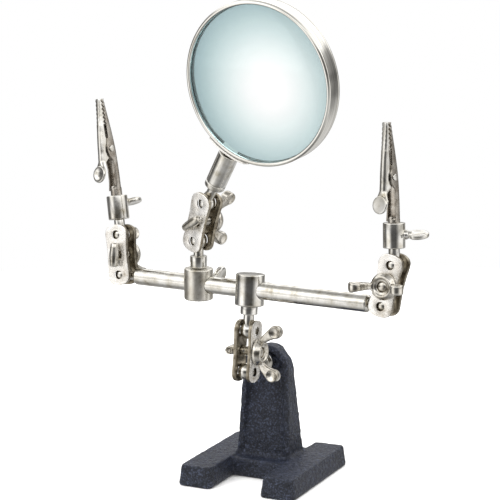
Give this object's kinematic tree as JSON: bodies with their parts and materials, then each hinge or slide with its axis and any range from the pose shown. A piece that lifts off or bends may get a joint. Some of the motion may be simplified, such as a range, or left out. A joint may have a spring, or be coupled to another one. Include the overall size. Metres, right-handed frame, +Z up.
{
  "type": "helping hands clamp",
  "caption": "Cast foot and column with a ball-jointed cross rod that carries an alligator clip at each end and a round magnifier on its own ball-jointed clamp.",
  "frame": {"origin": "on the ground plane under the middle of the column, on the underside of the cast foot", "axes": "+Z up, +X to the right along the cross rod, -Y towards the user, the side the base ball stud points to"},
  "size_m": [0.151, 0.0599, 0.1972],
  "materials": {
    "cast_paint": "matte",
    "plated": "polished",
    "plated_sheet": "polished",
    "spring_steel": "satin",
    "lens_glass": "clear"
  },
  "bodies": {
    "base": {"base_casting": "cast_paint", "base_stud_nut": "plated"},
    "base_ball_stud": {"base_ball_stud": "plated"},
    "base_clamp": {"base_clamp_plate_front": "plated_sheet", "base_clamp_plate_back": "plated_sheet", "base_clamp_bolt": "plated"},
    "base_clamp_nut": {"base_clamp_wing_nut": "plated"},
    "tee_ball_stud": {"tee_ball_stud": "plated"},
    "tee_sleeve": {"tee_sleeve": "plated"},
    "tee_thumb_screw": {"tee_thumb_screw": "plated"},
    "rod": {"cross_rod": "plated"},
    "left_end_stud": {"left_end_ball_stud": "plated"},
    "left_clamp": {"left_clamp_plate_front": "plated_sheet", "left_clamp_plate_back": "plated_sheet", "left_clamp_bolt": "plated"},
    "left_clamp_nut": {"left_clamp_wing_nut": "plated"},
    "left_clip_stud": {"left_clip_ball_stud": "plated"},
    "left_clip_socket": {"left_clip_socket": "plated"},
    "left_clip_screw": {"left_clip_thumb_screw": "plated"},
    "left_clip": {"left_clip_fixed_jaw": "plated_sheet", "left_clip_pin": "plated", "left_clip_spring": "spring_steel"},
    "left_clip_jaw": {"left_clip_moving_jaw": "plated_sheet"},
    "right_end_stud": {"right_end_ball_stud": "plated"},
    "right_clamp": {"right_clamp_plate_front": "plated_sheet", "right_clamp_plate_back": "plated_sheet", "right_clamp_bolt": "plated"},
    "right_clamp_nut": {"right_clamp_wing_nut": "plated"},
    "right_clip_stud": {"right_clip_ball_stud": "plated"},
    "right_clip_socket": {"right_clip_socket": "plated"},
    "right_clip_screw": {"right_clip_thumb_screw": "plated"},
    "right_clip": {"right_clip_fixed_jaw": "plated_sheet", "right_clip_pin": "plated", "right_clip_spring": "spring_steel"},
    "right_clip_jaw": {"right_clip_moving_jaw": "plated_sheet"},
    "magnifier_sleeve": {"magnifier_sleeve": "plated"},
    "magnifier_thumb_screw": {"magnifier_thumb_screw": "plated"},
    "magnifier_stud": {"magnifier_ball_stud": "plated"},
    "magnifier_clamp": {"magnifier_clamp_plate_front": "plated_sheet", "magnifier_clamp_plate_back": "plated_sheet", "magnifier_clamp_bolt": "plated"},
    "magnifier_clamp_nut": {"magnifier_clamp_wing_nut": "plated"},
    "magnifier_handle_stud": {"magnifier_handle_ball_stud": "plated"},
    "magnifier_head": {"magnifier_ferrule": "plated", "magnifier_saddle": "plated_sheet", "magnifier_rim": "plated", "magnifier_lens": "lens_glass", "magnifier_retaining_ring": "spring_steel"}
  },
  "joints": [
    {"name": "base_stud_swivel", "type": "hinge", "parent": "base", "child": "base_ball_stud", "pos_m": [0, -0.0234, 0.0478], "axis": [0, 1, 0], "range_deg": [-30, 30]},
    {"name": "base_clamp_tilt", "type": "hinge", "parent": "base_ball_stud", "child": "base_clamp", "pos_m": [0, -0.0234, 0.0478], "axis": [-1, 0, 0.0017], "range_deg": [-45, 40]},
    {"name": "base_wing_nut_spin", "type": "hinge", "parent": "base_clamp", "child": "base_clamp_nut", "pos_m": [0.00421, -0.02244, 0.05599], "axis": [1, 0, -0.0017], "continuous": true},
    {"name": "tee_stud_tilt", "type": "hinge", "parent": "base_clamp", "child": "tee_ball_stud", "pos_m": [0.00003, -0.02147, 0.06419], "axis": [1, 0, -0.0017], "range_deg": [-50, 50]},
    {"name": "tee_sleeve_turn", "type": "hinge", "parent": "tee_ball_stud", "child": "tee_sleeve", "pos_m": [0.00006, -0.01985, 0.08051], "axis": [0.0017, 0.0993, 0.9951], "range_deg": [-90, 90]},
    {"name": "tee_thumb_screw_spin", "type": "hinge", "parent": "tee_sleeve", "child": "tee_thumb_screw", "pos_m": [0.00006, -0.01985, 0.08051], "axis": [0.0731, 0.9924, -0.0992], "continuous": true},
    {"name": "rod_slide", "type": "slide", "parent": "tee_sleeve", "child": "rod", "axis": [0.9973, -0.0729, 0.0055], "range_m": [-0.03, 0.012]},
    {"name": "left_end_stud_turn", "type": "hinge", "parent": "rod", "child": "left_end_stud", "pos_m": [-0.05968, -0.01548, 0.08017], "axis": [0.9973, -0.0729, 0.0055], "range_deg": [-70, 70]},
    {"name": "left_clamp_lean", "type": "hinge", "parent": "left_end_stud", "child": "left_clamp", "pos_m": [-0.05968, -0.01548, 0.08017], "axis": [0.0729, 0.9861, -0.1494], "range_deg": [-75, 18]},
    {"name": "left_wing_nut_spin", "type": "hinge", "parent": "left_clamp", "child": "left_clamp_nut", "pos_m": [-0.06065, -0.01003, 0.08759], "axis": [0.0729, 0.9861, -0.1494], "continuous": true},
    {"name": "left_clip_stud_lean", "type": "hinge", "parent": "left_clamp", "child": "left_clip_stud", "pos_m": [-0.06223, -0.01286, 0.09626], "axis": [-0.0729, -0.9861, 0.1494], "range_deg": [-60, 70]},
    {"name": "left_socket_turn", "type": "hinge", "parent": "left_clip_stud", "child": "left_clip_socket", "pos_m": [-0.06344, -0.01184, 0.10236], "axis": [-0.1935, 0.1609, 0.9678], "continuous": true},
    {"name": "left_thumb_screw_spin", "type": "hinge", "parent": "left_clip_socket", "child": "left_clip_screw", "pos_m": [-0.06484, -0.01068, 0.10933], "axis": [0.225, 0.9674, -0.1159], "continuous": true},
    {"name": "left_clip_slide", "type": "slide", "parent": "left_clip_socket", "child": "left_clip", "axis": [-0.1935, 0.1609, 0.9678], "range_m": [-0.0018, 0.0042]},
    {"name": "left_jaw_open", "type": "hinge", "parent": "left_clip", "child": "left_clip_jaw", "pos_m": [-0.06987, -0.00962, 0.13077], "axis": [0.9317, -0.2789, 0.2327], "range_deg": [0, 24], "stiffness_Nm_per_rad": 0.12, "springref_deg": -28.65},
    {"name": "right_end_stud_turn", "type": "hinge", "parent": "rod", "child": "right_end_stud", "pos_m": [0.0592, -0.02417, 0.08083], "axis": [0.9973, -0.0729, 0.0055], "range_deg": [-70, 70]},
    {"name": "right_clamp_lean", "type": "hinge", "parent": "right_end_stud", "child": "right_clamp", "pos_m": [0.0592, -0.02417, 0.08083], "axis": [0.0731, 0.9938, -0.0835], "range_deg": [-12, 75]},
    {"name": "right_wing_nut_spin", "type": "hinge", "parent": "right_clamp", "child": "right_clamp_nut", "pos_m": [0.06056, -0.02779, 0.08924], "axis": [-0.0731, -0.9938, 0.0835], "continuous": true},
    {"name": "right_clip_stud_lean", "type": "hinge", "parent": "right_clamp", "child": "right_clip_stud", "pos_m": [0.06255, -0.02306, 0.09695], "axis": [0.0731, 0.9938, -0.0835], "range_deg": [-22, 70]},
    {"name": "right_socket_turn", "type": "hinge", "parent": "right_clip_stud", "child": "right_clip_socket", "pos_m": [0.06219, -0.02251, 0.10322], "axis": [-0.0568, 0.0878, 0.9945], "continuous": true},
    {"name": "right_thumb_screw_spin", "type": "hinge", "parent": "right_clip_socket", "child": "right_clip_screw", "pos_m": [0.06189, -0.02205, 0.10839], "axis": [0.9807, 0.1916, 0.0391], "continuous": true},
    {"name": "right_clip_slide", "type": "slide", "parent": "right_clip_socket", "child": "right_clip", "axis": [-0.0568, 0.0878, 0.9945], "range_m": [0, 0.006]},
    {"name": "right_jaw_open", "type": "hinge", "parent": "right_clip", "child": "right_clip_jaw", "pos_m": [0.05987, -0.02259, 0.13054], "axis": [0.9537, -0.2898, 0.0801], "range_deg": [0, 24], "stiffness_Nm_per_rad": 0.12, "springref_deg": -28.65},
    {"name": "magnifier_sleeve_turn", "type": "hinge", "parent": "rod", "child": "magnifier_sleeve", "pos_m": [-0.02368, -0.01811, 0.08037], "axis": [0.9973, -0.0729, 0.0055], "range_deg": [-75, 60]},
    {"name": "magnifier_thumb_screw_spin", "type": "hinge", "parent": "magnifier_sleeve", "child": "magnifier_thumb_screw", "pos_m": [-0.02368, -0.01811, 0.08037], "axis": [0.0729, 0.9973, -0.0103], "continuous": true},
    {"name": "magnifier_stud_swivel", "type": "hinge", "parent": "magnifier_sleeve", "child": "magnifier_stud", "pos_m": [-0.02376, -0.01792, 0.09817], "axis": [-0.0048, 0.0107, 0.9999], "range_deg": [-60, 75]},
    {"name": "magnifier_clamp_lean", "type": "hinge", "parent": "magnifier_stud", "child": "magnifier_clamp", "pos_m": [-0.02376, -0.01792, 0.09817], "axis": [0.3286, 0.9444, -0.0085], "range_deg": [-20, 20]},
    {"name": "magnifier_wing_nut_spin", "type": "hinge", "parent": "magnifier_clamp", "child": "magnifier_clamp_nut", "pos_m": [-0.02009, -0.01468, 0.10603], "axis": [0.3286, 0.9444, -0.0085], "continuous": true},
    {"name": "magnifier_handle_lean", "type": "hinge", "parent": "magnifier_clamp", "child": "magnifier_handle_stud", "pos_m": [-0.01918, -0.01937, 0.11396], "axis": [0.3286, 0.9444, -0.0085], "range_deg": [-40, 25]},
    {"name": "magnifier_head_turn", "type": "hinge", "parent": "magnifier_handle_stud", "child": "magnifier_head", "pos_m": [-0.01918, -0.01937, 0.11396], "axis": [0.4838, -0.1605, 0.8604], "continuous": true}
  ]
}
